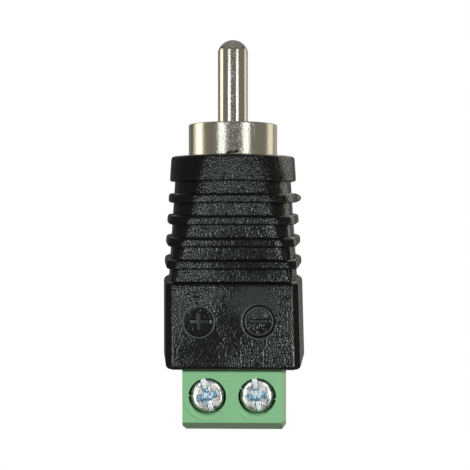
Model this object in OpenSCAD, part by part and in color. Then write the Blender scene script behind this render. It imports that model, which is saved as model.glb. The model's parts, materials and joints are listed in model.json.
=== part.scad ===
// Phono plug with a two-way screw terminal block in a ribbed moulded body.
// Stands on the wire end of the block: +Z along the pin, screws and polarity marks face -Y.
// All sizes in millimetres.

/* [Plug] */
// Diameter of the centre pin
pin_d = 3.2; // [3:0.05:3.3]
// Length of the centre pin beyond the rim of the collar
pin_reach = 9; // [7:0.1:10]
// Height of the domed end of the pin
pin_dome = 1.15; // [0.8:0.05:1.4]
// Outer diameter of the collar
collar_d = 9.45; // [9.2:0.05:9.6]
// Wall of the collar
collar_wall = 0.55; // [0.4:0.05:0.7]
// Height of the collar above the body
collar_reach = 3.4; // [3:0.1:6]
// Depth of the socket between collar and pin
socket_depth = 5; // [4.5:0.1:6]
// Width of the lanced slit at the foot of the collar
slit_w = 1.1; // [0.6:0.1:2]
// Height of that slit
slit_h = 0.3; // [0.2:0.05:0.5]

/* [Body] */
// Diameter of the round top of the body
body_top_d = 13.15; // [13:0.05:14]
// Width of the lower block over its side ridges
body_w = 14.9; // [14.5:0.1:16]
// Width of the front and back faces of the lower block, over their corners
face_w = 13.4; // [13:0.1:14]
// Depth of the lower block
body_depth = 12.6; // [12.4:0.1:14]
// Radius of the upright corners of the lower block
corner_r = 0.9; // [0.8:0.05:1.2]
// Extra half width of the lower block at its foot
foot_flare = 0.12; // [0:0.02:0.3]
// Height of the lower block
lower_h = 8.9; // [7:0.1:11]
// Number of grip ribs
rib_count = 4; // [3:1:4]
// Height of one rib
rib_h = 1; // [0.9:0.05:1.5]
// Height of the groove beside a rib
rib_gap = 1.21; // [0.9:0.01:1.6]
// Depth of the grooves
rib_depth = 0.52; // [0.3:0.02:0.6]
// Height of the plain band above the ribs
band_h = 2.65; // [2:0.05:4]
// Rounding of the rib edges
rib_edge = 0.28; // [0.1:0.02:0.4]
// Rounding of the top and bottom edges of the lower block
block_edge = 0.5; // [0.2:0.05:0.6]

/* [Terminal block] */
// Distance between the two poles
pitch = 5.08; // [5:0.02:5.2]
// Width of the terminal housing
block_w = 10.16; // [10:0.02:10.4]
// Depth of the terminal housing, screw face to back
block_depth = 10; // [9.8:0.1:10.2]
// Length of the housing outside the body
block_reach = 6.4; // [6:0.05:7]
// Length of the housing inside the body
block_seat = 4.2; // [3.5:0.1:5]
// Set-back of the bevel at the front and back of the wire end
bevel_in = 0.5; // [0.2:0.05:0.6]
// Height of that bevel
bevel_h = 0.8; // [0.4:0.05:0.9]
// Bevel at the left and right of the wire end
side_bevel = 0.4; // [0.2:0.05:0.6]
// How far the joining tongue stands out of the right side
tongue_h = 0.45; // [0.3:0.05:0.5]
// Width of the tongue at its root
tongue_w = 3; // [2:0.1:4]
// Distance of the tongue's root from the screw face
tongue_inset = 0.5; // [0.4:0.05:1.5]
// Height of the screw axis above the wire end
screw_z = 3.43; // [3.3:0.01:3.6]

/* [Clamp] */
// Diameter of the screw head
head_d = 3.5; // [3.2:0.05:3.6]
// Thickness of the screw head
head_t = 1.3; // [1.1:0.05:1.35]
// Diameter of the screw shank
shank_d = 2.4; // [2:0.1:2.4]
// Turn of the slot in the plus screw
slot_turn_plus = 15; // [0:1:180]
// Turn of the slot in the minus screw
slot_turn_minus = 12; // [0:1:180]
// Width of the driver slot
slot_w = 0.75; // [0.5:0.05:0.8]
// Depth of the driver slot
slot_depth = 0.6; // [0.4:0.05:0.7]
// Thickness of the contact bar
bar_t = 0.8; // [0.6:0.05:0.9]
// Height of the wire space when the clamp is open
wire_space = 2.8; // [2.4:0.1:2.8]
// Travel of the clamp cage
travel = 2; // [1.5:0.1:2]

/* [Hidden] */
$fn = 64;
cut = 1;
slice_t = 0.01;
fit_gap = 0.03;
slide_gap = 0.1;
thread_gap = 0.05;

// Levels of the body, from the wire end up
body_z0 = block_reach;
lower_z1 = body_z0 + lower_h;
ribs_h = rib_count * rib_h + (rib_count + 1) * rib_gap;
band_z0 = lower_z1 + ribs_h;
body_z1 = band_z0 + band_h;
rim_z = body_z1 + collar_reach;
tip_z = rim_z + pin_reach;

// Collar cup: tube, outer flange and inner lip
top_wall = 2;
flange_t = 0.8;
flange_out = 0.45;
lip_t = 0.35;
rim_edge = 0.12;
collar_r = collar_d / 2;
collar_ir = collar_r - collar_wall;
flange_r = collar_r + flange_out;
shoulder_z = body_z1 - top_wall;
collar_z0 = shoulder_z - flange_t;
lip_z1 = collar_z0 + lip_t;
slit_lift = 0.2;
slit_z = body_z1 + slit_lift;
spigot_min = 0.5;
socket_z = max(lip_z1 + spigot_min, rim_z - socket_depth);

// Riveted stack under the socket
stem_r = 2.9;
lip_r = stem_r + fit_gap;
lug_t = 0.4;
lug_r = 4.2;
lug_z0 = collar_z0 - lug_t;
washer_t = 0.9;
washer_r = 3.5;
washer_z0 = lug_z0 - washer_t;
rivet_t = 0.4;
rivet_z0 = washer_z0 - rivet_t;
tab_w = 1.6;
tab_len = 3.4;
tab_z0 = lug_z0 - tab_len;
neck_step = 0.4;
pin_neck_d = pin_d - 2 * neck_step;
cup_step = 0.1;
cup_d = pin_neck_d - 2 * cup_step;
cup_wall = 0.45;
cup_depth = 1.8;
cup_floor = 0.5;
cup_z0 = rivet_z0 - cup_depth - cup_floor;
dome_r = (pin_dome * pin_dome + pin_d * pin_d / 4) / (2 * pin_dome);

// Body moulding
top_r = body_top_d / 2;
side_r = 1.2;
cavity_wall = 0.85;
cavity_r = max(flange_r + fit_gap, top_r - rib_depth - cavity_wall);
corner_x = face_w / 2 - corner_r;
corner_y = body_depth / 2 - corner_r;
side_x = body_w / 2 - side_r;
OUTLINE = [
    [-corner_x, -corner_y, corner_r],
    [corner_x, -corner_y, corner_r],
    [corner_x, corner_y, corner_r],
    [-corner_x, corner_y, corner_r],
    [-side_x, 0, side_r],
    [side_x, 0, side_r],
];

// Terminal housing, its two pockets and the wire ways
block_h = block_reach + block_seat;
cover_t = 0.8;
cover_z1 = block_h + cover_t;
front_wall = 1.6;
end_wall = 1;
face_y = -block_depth / 2;
pocket_w = 3.5;
pocket_y0 = face_y + front_wall;
head_gap = 0.175;
hole_d = head_d + 2 * head_gap;
tongue_draft = 0.4;
tongue_lap = 0.1;
head_sink = 0.25;

// Clamp, written from the screw face inwards
head_y = face_y + head_sink;
plate_t = 1;
floor_t = 0.7;
cage_w = pocket_w - 2 * slide_gap;
cage_side = 0.45;
cage_len = 3.4;
cage_y0 = pocket_y0 + slide_gap + travel;
bar_y0 = cage_y0 + plate_t + slide_gap;
bar_y1 = bar_y0 + bar_t;
cage_y1 = bar_y1 + wire_space + floor_t;
pocket_y1 = cage_y1 + slide_gap;
window_w = cage_w - 2 * cage_side;
bar_w = window_w - 2 * slide_gap;
bar_z0 = end_wall + slide_gap;
way_w = window_w - 2 * slide_gap;
way_y0 = bar_y1 + slide_gap;
way_y1 = bar_y1 + wire_space - slide_gap;
funnel = 0.3;
plug_z0 = screw_z + cage_len / 2 + 2 * slide_gap;
head_chamfer = 0.32;
cross_len = 2.3;
cross_w = 0.6;
cross_depth = 0.85;
tip_chamfer = 0.2;

// Tails and leads
tail_w = 1.4;
tail_len = 3;
tail_z1 = cover_z1 + tail_len;
wire_r = 0.3;
sleeve_r = 0.6;
bend_r = 1.2;
bend_a = 50;
BEND_STEPS = 8;
RUN_SIDES = 16;
solder_r = 0.55;
solder_len = 1.8;
solder_inset = 0.3;
solder_lift = 0.2;
lead_lift = 0.5;
sleeve_gap = 0.2;
bend_lift = 0.4;
lead_stop = 0.4;
lead_z0 = cover_z1 + lead_lift;
lead_y = bar_y0 - wire_r - fit_gap;
sleeve_z0 = tail_z1 + sleeve_gap;
bend_z = sleeve_z0 + bend_lift;
tab_x = lug_r - lug_t;
tip_lead_z1 = cup_z0 + cup_depth - fit_gap;
ground_lead_x = tab_x - wire_r - fit_gap;
ground_lead_z1 = washer_z0 - lead_stop;

NICKEL = [0.78, 0.77, 0.73];
BLACK = [0.05, 0.05, 0.05];
GREEN = [0.33, 0.6, 0.37];
ZINC = [0.75, 0.79, 0.82];
BRASS = [0.8, 0.66, 0.36];
CREAM = [0.88, 0.86, 0.8];
RED = [0.6, 0.08, 0.07];
TIN = [0.72, 0.72, 0.7];

// A ring between two radii and two levels
module ring(r0, r1, z0, z1) {
    rotate_extrude()
        polygon([[r0, z0], [r1, z0], [r1, z1], [r0, z1]]);
}

// A box from two opposite corners
module span(a, b) {
    translate(a)
        cube(b - a);
}

// One level of the body outline: round at shape 0, flat-sided at shape 1
module level(shape, z, inset, spread) {
    for (p = OUTLINE) {
        translate([shape * p.x + sign(p.x) * spread, shape * p.y, z])
            cylinder(r = shape * p.z + (1 - shape) * top_r - inset, h = slice_t, $fn = 48);
    }
}

function shape_at(z) = (body_z1 - z) / (body_z1 - lower_z1);
function flare_at(z) = foot_flare * (lower_z1 - z) / lower_h;

// A tier of the taper with rounded edges, from z0 to z1
module tier(z0, z1, edge) {
    hull() {
        for (a = [0, 45, 90]) {
            drop = edge * (1 - sin(a));
            rise = edge * (1 - cos(a));
            level(shape_at(z0 + rise), z0 + rise, drop, 0);
            level(shape_at(z1 - rise), z1 - rise - slice_t, drop, 0);
        }
    }
}

// The flat-sided block below the taper
module lower_block() {
    hull() {
        for (a = [0, 45, 90]) {
            drop = block_edge * (1 - sin(a));
            rise = block_edge * (1 - cos(a));
            level(1, body_z0 + rise, drop, flare_at(body_z0 + rise));
            level(1, lower_z1 - rise - slice_t, drop, flare_at(lower_z1 - rise));
        }
    }
}

// The core between the ribs
module core() {
    hull() {
        level(0, body_z1 - rib_depth - slice_t, rib_depth, 0);
        level(1, lower_z1 - block_edge, rib_depth, 0);
    }
}

// Section of the joining tongue, grown by a gap, with its root sunk past the side bevel of the housing
module tongue_section(gap) {
    root = tongue_w / 2 + gap;
    top = root - tongue_draft;
    bite = side_bevel + tongue_lap;
    translate([block_w / 2, face_y + tongue_inset + tongue_w / 2])
        polygon([
            [-bite, -root],
            [0, -root],
            [tongue_h + gap, -top],
            [tongue_h + gap, top],
            [0, root],
            [-bite, root],
        ]);
}

// The joining tongue, bevelled at the wire end like the side of the housing
module tongue() {
    intersection() {
        linear_extrude(height = block_h)
            tongue_section(0);
        rotate([90, 0, 0])
            linear_extrude(height = block_depth, center = true)
                bevelled_section(block_w + 2 * tongue_h, side_bevel, side_bevel);
    }
}

// Upright section of the housing, w across, with a bevel at its foot
module bevelled_section(w, inset, rise) {
    polygon([
        [-w / 2 + inset, 0],
        [w / 2 - inset, 0],
        [w / 2, rise],
        [w / 2, block_h],
        [-w / 2, block_h],
        [-w / 2, rise],
    ]);
}

// Box of the housing, bevelled on all four sides of the wire end
module bevelled_box() {
    intersection() {
        rotate([90, 0, 0])
            linear_extrude(height = block_depth, center = true)
                bevelled_section(block_w, side_bevel, side_bevel);
        rotate([90, 0, 90])
            linear_extrude(height = block_w, center = true)
                bevelled_section(block_depth, bevel_in, bevel_h);
    }
}

// Places a piece at the plus pole (-1) or the minus pole (1)
module at_pole(side) {
    translate([side * pitch / 2, 0, 0])
        children();
}

module center_pin() {
    color(NICKEL)
        difference() {
            union() {
                translate([0, 0, socket_z])
                    cylinder(d = pin_d, h = tip_z - pin_dome - socket_z);
                intersection() {
                    translate([0, 0, tip_z - dome_r])
                        sphere(r = dome_r);
                    translate([0, 0, tip_z - pin_dome])
                        cylinder(d = 2 * pin_d, h = 2 * pin_dome);
                }
                translate([0, 0, washer_z0])
                    cylinder(d = pin_neck_d, h = socket_z - washer_z0);
                translate([0, 0, rivet_z0])
                    cylinder(d = pin_d, h = rivet_t);
                translate([0, 0, cup_z0])
                    cylinder(d = cup_d, h = rivet_z0 - cup_z0);
            }
            translate([0, 0, cup_z0 - cut])
                cylinder(d = cup_d - 2 * cup_wall, h = cup_depth + cut);
        }
}

module ground_collar() {
    color(NICKEL)
        difference() {
            rotate_extrude()
                polygon([
                    [lip_r, collar_z0],
                    [flange_r, collar_z0],
                    [flange_r, shoulder_z],
                    [collar_r, shoulder_z],
                    [collar_r, rim_z - rim_edge],
                    [collar_r - rim_edge, rim_z],
                    [collar_ir + rim_edge, rim_z],
                    [collar_ir, rim_z - rim_edge],
                    [collar_ir, lip_z1],
                    [lip_r, lip_z1],
                ]);
            span(
                [-slit_w / 2, -collar_r - cut, slit_z],
                [slit_w / 2, -collar_ir + cut, slit_z + slit_h]
            );
        }
}

module pin_insulator() {
    neck_r = pin_neck_d / 2 + fit_gap;
    color(CREAM)
        union() {
            ring(neck_r, stem_r, lug_z0, lip_z1);
            ring(neck_r, collar_ir - fit_gap, lip_z1, socket_z);
        }
}

module insulator_washer() {
    color(CREAM)
        ring(pin_neck_d / 2 + fit_gap, washer_r, washer_z0, lug_z0);
}

module ground_lug() {
    color(BRASS)
        union() {
            ring(stem_r + fit_gap, lug_r, lug_z0, collar_z0);
            span([tab_x, -tab_w / 2, tab_z0], [lug_r, tab_w / 2, collar_z0]);
        }
}

module body_shell() {
    color(BLACK)
        difference() {
            union() {
                core();
                tier(band_z0, body_z1, rib_edge);
                for (i = [1:rib_count]) {
                    z0 = lower_z1 + i * rib_gap + (i - 1) * rib_h;
                    tier(z0, z0 + rib_h, rib_edge);
                }
                lower_block();
            }
            translate([0, 0, shoulder_z - cut])
                cylinder(r = collar_r + fit_gap, h = top_wall + 2 * cut);
            translate([0, 0, cover_z1 - cut])
                cylinder(r = cavity_r, h = shoulder_z - cover_z1 + cut);
            span(
                [-block_w / 2 - fit_gap, -block_depth / 2 - fit_gap, body_z0 - cut],
                [block_w / 2 + fit_gap, block_depth / 2 + fit_gap, cover_z1]
            );
            translate([0, 0, body_z0 - cut])
                linear_extrude(height = cover_z1 - body_z0 + cut)
                    tongue_section(fit_gap);
        }
}

module terminal_housing() {
    color(GREEN)
        difference() {
            union() {
                bevelled_box();
                tongue();
            }
            translate([-block_w, 0, -cut])
                linear_extrude(height = block_h + 2 * cut)
                    tongue_section(fit_gap);
            for (side = [-1, 1]) {
                at_pole(side) {
                    span(
                        [-pocket_w / 2, pocket_y0, end_wall],
                        [pocket_w / 2, pocket_y1, block_h + cut]
                    );
                    translate([0, face_y - cut, screw_z])
                        rotate([-90, 0, 0])
                            cylinder(d = hole_d, h = front_wall + 2 * cut);
                    wire_way();
                }
            }
        }
}

// Wire way through the end wall, with a funnel at its mouth
module wire_way() {
    mid_y = (way_y0 + way_y1) / 2;
    way_h = way_y1 - way_y0;
    span([-way_w / 2, way_y0, -cut], [way_w / 2, way_y1, end_wall + cut]);
    translate([0, mid_y, funnel])
        rotate([180, 0, 0])
            intersection() {
                rotate([90, 0, 0])
                    linear_extrude(height = way_h + 4 * funnel, center = true)
                        funnel_section(way_w);
                rotate([90, 0, 90])
                    linear_extrude(height = way_w + 4 * funnel, center = true)
                        funnel_section(way_h);
            }
}

module funnel_section(w) {
    mouth = 2 * funnel;
    polygon([[-w / 2, 0], [w / 2, 0], [w / 2 + mouth, mouth], [-w / 2 - mouth, mouth]]);
}

module block_cover() {
    color(GREEN)
        difference() {
            union() {
                span(
                    [-block_w / 2, -block_depth / 2, block_h],
                    [block_w / 2, block_depth / 2, cover_z1]
                );
                for (side = [-1, 1]) {
                    at_pole(side)
                        span(
                            [-pocket_w / 2 + fit_gap, pocket_y0 + fit_gap, plug_z0],
                            [pocket_w / 2 - fit_gap, pocket_y1 - fit_gap, block_h]
                        );
                }
            }
            for (side = [-1, 1]) {
                at_pole(side)
                    span(
                        [-bar_w / 2 - fit_gap, bar_y0 - fit_gap, plug_z0 - cut],
                        [bar_w / 2 + fit_gap, bar_y1 + fit_gap, cover_z1 + cut]
                    );
            }
        }
}

// Screw with its head at the screw face, its slot turned from upright
module clamp_screw(turn) {
    head_top = -head_y;
    tip = -bar_y0 + thread_gap;
    head_r = head_d / 2;
    shank_r = shank_d / 2;
    color(ZINC)
        translate([0, 0, screw_z])
            rotate([90, 0, 0])
                difference() {
                    rotate_extrude()
                        polygon([
                            [0, tip],
                            [shank_r - tip_chamfer, tip],
                            [shank_r, tip + tip_chamfer],
                            [shank_r, head_top - head_t],
                            [head_r, head_top - head_t],
                            [head_r, head_top - head_chamfer],
                            [head_r - head_chamfer, head_top],
                            [0, head_top],
                        ]);
                    rotate([0, 0, turn]) {
                        span(
                            [-slot_w / 2, -head_d, head_top - slot_depth],
                            [slot_w / 2, head_d, head_top + cut]
                        );
                        for (a = [0, 90]) {
                            rotate([0, 0, a])
                                span(
                                    [-cross_w / 2, -cross_len / 2, head_top - cross_depth],
                                    [cross_w / 2, cross_len / 2, head_top + cut]
                                );
                        }
                    }
                }
}

module clamp_screw_plus() {
    at_pole(-1)
        clamp_screw(slot_turn_plus);
}

module clamp_screw_minus() {
    at_pole(1)
        clamp_screw(slot_turn_minus);
}

module clamp_cage() {
    color(BRASS)
        difference() {
            span(
                [-cage_w / 2, cage_y0, screw_z - cage_len / 2],
                [cage_w / 2, cage_y1, screw_z + cage_len / 2]
            );
            span(
                [-window_w / 2, cage_y0 + plate_t, screw_z - cage_len / 2 - cut],
                [window_w / 2, cage_y1 - floor_t, screw_z + cage_len / 2 + cut]
            );
            translate([0, cage_y0 - cut, screw_z])
                rotate([-90, 0, 0])
                    cylinder(d = shank_d + 2 * thread_gap, h = plate_t + 2 * cut);
        }
}

module clamp_cage_plus() {
    at_pole(-1)
        clamp_cage();
}

module clamp_cage_minus() {
    at_pole(1)
        clamp_cage();
}

module contact_bar() {
    color(BRASS)
        union() {
            span([-bar_w / 2, bar_y0, bar_z0], [bar_w / 2, bar_y1, cover_z1]);
            span([-tail_w / 2, bar_y0, cover_z1], [tail_w / 2, bar_y1, tail_z1]);
        }
}

module contact_bar_plus() {
    at_pole(-1)
        contact_bar();
}

module contact_bar_minus() {
    at_pole(1)
        contact_bar();
}

// Stations of a run that steps sideways by an S-bend: offset, height and lean of each
function s_stations(side, z0, z1) =
    let (
        slant = (side - 2 * bend_r * (1 - cos(bend_a))) / sin(bend_a),
        rise = 2 * bend_r * sin(bend_a) + slant * cos(bend_a),
        leans = [for (i = [0:BEND_STEPS]) bend_a * i / BEND_STEPS]
    )
    concat(
        [[0, z0, 0]],
        [for (a = leans) [bend_r * (1 - cos(a)), bend_z + bend_r * sin(a), a]],
        [for (a = leans) let (b = bend_a - a)
            [side - bend_r * (1 - cos(b)), bend_z + rise - bend_r * sin(b), b]],
        [[side, z1, 0]]
    );

// A round run from point a up to point b, bent once each way
module s_run(a, b, r) {
    step = [b.x - a.x, b.y - a.y];
    stations = s_stations(norm(step), a.z, b.z);
    last = len(stations) - 1;
    points = [
        for (p = stations, j = [0:RUN_SIDES - 1])
            let (c = r * cos(360 * j / RUN_SIDES), t = r * sin(360 * j / RUN_SIDES))
            [p[0] + c * cos(p[2]), t, p[1] - c * sin(p[2])]
    ];
    walls = [
        for (i = [0:last - 1], j = [0:RUN_SIDES - 1])
            let (k = (j + 1) % RUN_SIDES, lo = i * RUN_SIDES, hi = lo + RUN_SIDES)
            [lo + j, hi + j, hi + k, lo + k]
    ];
    foot = [for (j = [0:RUN_SIDES - 1]) j];
    head = [for (j = [0:RUN_SIDES - 1]) (last + 1) * RUN_SIDES - 1 - j];
    translate([a.x, a.y, 0])
        rotate([0, 0, atan2(step.y, step.x)])
            polyhedron(points = points, faces = concat(walls, [foot, head]));
}

tip_foot = [-pitch / 2, lead_y, lead_z0];
tip_head = [0, 0, tip_lead_z1];
ground_foot = [pitch / 2, lead_y, lead_z0];
ground_head = [ground_lead_x, 0, ground_lead_z1];

module tip_lead() {
    color(TIN)
        s_run(tip_foot, tip_head, wire_r);
}

module ground_lead() {
    color(TIN)
        s_run(ground_foot, ground_head, wire_r);
}

// Sleeve round a lead, from above the tail to below the other joint
module sleeve(a, b, z1) {
    difference() {
        s_run([a.x, a.y, sleeve_z0], [b.x, b.y, z1], sleeve_r);
        s_run([a.x, a.y, sleeve_z0 - cut / 2], [b.x, b.y, z1 + cut / 2], wire_r + fit_gap);
    }
}

module tip_sleeve() {
    color(RED)
        sleeve(tip_foot, tip_head, cup_z0 - sleeve_gap);
}

module ground_sleeve() {
    color(BLACK)
        sleeve(ground_foot, ground_head, tab_z0 - sleeve_gap);
}

// Solder round a wire, cut back to the flat it sits on
module solder_bead(x, y, z) {
    translate([x, y, z])
        cylinder(r = solder_r, h = solder_len);
}

module solder_joints() {
    color(TIN)
        difference() {
            union() {
                for (foot = [tip_foot, ground_foot]) {
                    solder_bead(foot.x, foot.y, tail_z1 - solder_len - solder_inset);
                }
                solder_bead(ground_head.x, ground_head.y, tab_z0 + solder_lift);
                translate([0, 0, cup_z0])
                    cylinder(d = cup_d - 2 * cup_wall - 2 * fit_gap, h = cup_depth - fit_gap);
            }
            for (side = [-1, 1]) {
                at_pole(side)
                    span([-tail_w, bar_y0, cover_z1], [tail_w, bar_y1, tail_z1 + cut]);
            }
            span([tab_x, -tab_w, tab_z0 - cut], [lug_r, tab_w, lug_z0]);
            s_run(tip_foot, [tip_head.x, tip_head.y, tip_head.z + cut], wire_r + fit_gap);
            s_run(ground_foot, [ground_head.x, ground_head.y, ground_head.z + cut], wire_r + fit_gap);
        }
}

center_pin();
ground_collar();
pin_insulator();
insulator_washer();
ground_lug();
body_shell();
terminal_housing();
block_cover();
clamp_screw_plus();
clamp_screw_minus();
clamp_cage_plus();
clamp_cage_minus();
contact_bar_plus();
contact_bar_minus();
tip_lead();
ground_lead();
tip_sleeve();
ground_sleeve();
solder_joints();
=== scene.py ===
"""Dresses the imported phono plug: moulded body, plated contacts, green screw terminal and its studio."""
import json
import math
from typing import NamedTuple

import bmesh
import bpy
from bpy.props import FloatProperty, FloatVectorProperty, IntProperty, PointerProperty
from mathutils import Matrix, Vector

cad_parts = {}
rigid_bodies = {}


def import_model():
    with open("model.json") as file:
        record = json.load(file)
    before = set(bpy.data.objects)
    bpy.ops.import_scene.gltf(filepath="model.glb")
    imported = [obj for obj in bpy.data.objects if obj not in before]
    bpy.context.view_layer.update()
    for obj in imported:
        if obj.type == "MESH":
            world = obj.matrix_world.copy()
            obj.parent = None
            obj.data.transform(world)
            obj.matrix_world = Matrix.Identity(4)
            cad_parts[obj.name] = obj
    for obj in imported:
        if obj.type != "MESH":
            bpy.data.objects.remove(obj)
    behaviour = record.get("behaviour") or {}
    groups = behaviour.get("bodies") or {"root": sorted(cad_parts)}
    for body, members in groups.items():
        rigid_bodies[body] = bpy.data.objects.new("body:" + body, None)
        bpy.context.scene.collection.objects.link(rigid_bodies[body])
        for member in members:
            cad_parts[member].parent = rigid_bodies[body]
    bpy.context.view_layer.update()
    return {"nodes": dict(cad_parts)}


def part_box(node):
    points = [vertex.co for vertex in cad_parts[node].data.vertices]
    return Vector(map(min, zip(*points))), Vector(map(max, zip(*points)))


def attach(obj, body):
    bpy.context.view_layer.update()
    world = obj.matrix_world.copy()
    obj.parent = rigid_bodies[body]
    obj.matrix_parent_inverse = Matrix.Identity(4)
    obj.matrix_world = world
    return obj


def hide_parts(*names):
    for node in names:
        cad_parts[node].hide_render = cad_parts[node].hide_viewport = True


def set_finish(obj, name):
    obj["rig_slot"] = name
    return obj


bl_info = {
    "name": "Phono plug with screw terminal",
    "version": (1, 0, 0),
    "blender": (4, 5, 0),
    "location": "View3D > Sidebar > Plug",
    "description": "Models the moulding, contacts, terminal block and studio of a phono plug",
    "category": "Mesh",
}

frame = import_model()

MM = 0.001
BODY_LOW, BODY_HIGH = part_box("body_shell")
COLLAR_LOW, COLLAR_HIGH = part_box("ground_collar")
PIN_LOW, PIN_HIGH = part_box("center_pin")
HOUSING_LOW, HOUSING_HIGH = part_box("terminal_housing")
COVER_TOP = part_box("block_cover")[1].z
INSULATOR_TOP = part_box("pin_insulator")[1].z
WASHER_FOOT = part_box("insulator_washer")[0].z


# Settings


def size(name, description, default):
    return FloatProperty(name=name, description=description, default=default, precision=6, unit="LENGTH")


def tint(name, description, default):
    return FloatVectorProperty(
        name=name, description=description, default=default, size=3, min=0.0, max=1.0, subtype="COLOR"
    )


def spot(name, description, default):
    return FloatVectorProperty(
        name=name, description=description, default=default, size=3, precision=6, subtype="XYZ",
        unit="LENGTH",
    )


def number(name, description, default):
    return FloatProperty(name=name, description=description, default=default)


class MouldingSettings(bpy.types.PropertyGroup):
    """Sizes and colour of the ribbed black moulding."""

    ridge_width: size("Ridge width", "Width of the lower block over its side ridges", 14.9 * MM)
    ridge_radius: size("Ridge radius", "Radius of the side ridges", 1.2 * MM)
    face_width: size("Face width", "Width of the front and back faces over their corners", 13.4 * MM)
    depth: size("Depth", "Depth of the lower block", 12.6 * MM)
    corner_radius: size("Corner radius", "Radius of the upright corners", 0.9 * MM)
    corner_flat: size("Corner flat", "How far the middle of an upright corner is planed off", 0.1 * MM)
    top_diameter: size("Top diameter", "Diameter of the round top", 13.15 * MM)
    flare_left: size("Left flare", "Extra half width at the left of the foot", 0.02 * MM)
    flare_right: size("Right flare", "Extra half width at the right of the foot", 0.26 * MM)
    lower_height: size("Lower height", "Height of the flat-sided lower block", 8.9 * MM)
    block_edge: size("Block edge", "Rounding of the edges of the lower block", 0.5 * MM)
    rib_height: size("Rib height", "Height of one grip rib", 1.0 * MM)
    rib_gap: size("Rib gap", "Height of the groove beside a rib", 1.21 * MM)
    rib_depth: size("Rib depth", "Depth of the grooves", 0.52 * MM)
    rib_edge: size("Rib edge", "Rounding of the rib edges", 0.28 * MM)
    rib_count: IntProperty(name="Ribs", description="Number of grip ribs", default=4, min=1)
    mark_depth: size("Mark depth", "Depth of the sunk polarity marks", 0.18 * MM)
    bar_length: size("Bar length", "Length of the bars of the polarity signs", 1.8 * MM)
    bar_height: size("Bar height", "How far those bars stand up from the floor of a mark", 0.13 * MM)
    tongue_front: size("Tongue front", "How far the housing's tongue lies behind its front", 0.5 * MM)
    tongue_width: size("Tongue width", "Width of that tongue", 3.0 * MM)
    lip_height: size("Lip height", "Height of the bore that keeps the collar's flange in", 2.0 * MM)
    clearance: size("Clearance", "Gap round the pieces that the moulding holds", 0.03 * MM)
    colour: tint("Colour", "Colour of the black plastic", (0.002, 0.002, 0.0021))


class ContactSettings(bpy.types.PropertyGroup):
    """Sizes and colour of the plated pin and collar."""

    collar_wall: size("Collar wall", "Wall of the collar", 0.55 * MM)
    collar_floor: size("Collar floor", "Thickness of the collar's floor", 0.35 * MM)
    floor_hole: size("Floor hole", "Radius of the hole in the collar's floor", 2.93 * MM)
    flange: size("Flange", "How far the hidden flange stands out", 0.45 * MM)
    flange_height: size("Flange height", "Height of the hidden flange", 0.8 * MM)
    rim_edge: size("Rim edge", "Rounding of the collar rim", 0.14 * MM)
    foot_bead: size("Foot bead", "Bead where the collar leaves the moulding", 0.06 * MM)
    dome: size("Pin dome", "Height of the domed pin end", 1.15 * MM)
    neck_step: size("Neck step", "How far the pin is turned down inside its insulator", 0.4 * MM)
    rivet_height: size("Rivet height", "Height of the rivet under the washer", 0.4 * MM)
    cup_step: size("Cup step", "How far the solder cup is turned down", 0.5 * MM)
    cup_wall: size("Cup wall", "Wall of the solder cup", 0.45 * MM)
    cup_depth: size("Cup depth", "Depth of the solder cup", 1.8 * MM)
    colour: tint("Colour", "Colour of the nickel plating", (0.66, 0.635, 0.56))


class TerminalSettings(bpy.types.PropertyGroup):
    """Sizes and colours of the terminal block and its screws."""

    edge: size("Housing edge", "Rounding of the housing edges", 0.05 * MM)
    pitch: size("Pitch", "Distance between the two poles", 5.08 * MM)
    screw_height: size("Screw height", "Height of the screw axis above the wire end", 3.43 * MM)
    hole_radius: size("Hole radius", "Radius of the screw holes", 1.925 * MM)
    head_radius: size("Head radius", "Radius of the screw heads", 1.75 * MM)
    head_height: size("Head height", "Height of the screw heads", 1.3 * MM)
    screw_edge: size("Screw edge", "Rounding of the screw edges", 0.035 * MM)
    slot_width: size("Slot width", "Width of the driver slot", 0.72 * MM)
    slot_depth: size("Slot depth", "Depth of the driver slot", 0.55 * MM)
    slot_edge: size("Slot edge", "Depth of the worn edges of the slot", 0.12 * MM)
    cross_length: size("Cross length", "Length of the cross recess", 2.3 * MM)
    cross_width: size("Cross width", "Width of the cross recess", 0.78 * MM)
    cross_depth: size("Cross depth", "Depth of the cross recess", 0.85 * MM)
    thread_pitch: size("Thread pitch", "Pitch of the screw thread", 0.5 * MM)
    thread_crest: size("Thread crest", "Radius of the thread's crests", 1.17 * MM)
    thread_root: size("Thread root", "Radius of the thread's roots", 1.02 * MM)
    green: tint("Green", "Colour of the terminal housing", (0.213, 0.47, 0.245))
    zinc: tint("Zinc", "Colour of the plated screws", (0.8, 0.84, 0.88))


class StudioSettings(bpy.types.PropertyGroup):
    """Camera place and light levels."""

    camera_place: spot("Camera", "Place of the camera", (1.31 * MM, -79.37 * MM, 24.21 * MM))
    camera_aim: spot("Aim", "Point the camera looks at", (0.22 * MM, 0.0, 21.16 * MM))
    lens: number("Lens", "Focal length in millimetres", 56.6)
    shift: number("Shift", "Upward slide of the lens, as a share of the frame", -0.03)
    distance: size("Distance", "Distance of the upright lights from the pin", 0.25)
    strip_level: number("Strip level", "Radiance of the two front strips", 3.0)
    key_level: number("Key level", "Radiance of the strips on the moulding", 5.6)
    card_level: number("Card level", "Radiance of the two side cards", 1.3)
    backdrop_level: number("Backdrop level", "Radiance of the backdrop", 0.22)
    fill_level: number("Fill level", "Radiance of the dim panels", 0.14)
    room_level: number("Room level", "Radiance of the dim room", 0.1)


class Mark(NamedTuple):
    """A sunk round polarity mark on the front face: its place, its sloped wall and the bars of its sign."""

    x: float
    z: float
    radius: float
    wall: float
    bar_width: float
    bar_edge: float


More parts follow.
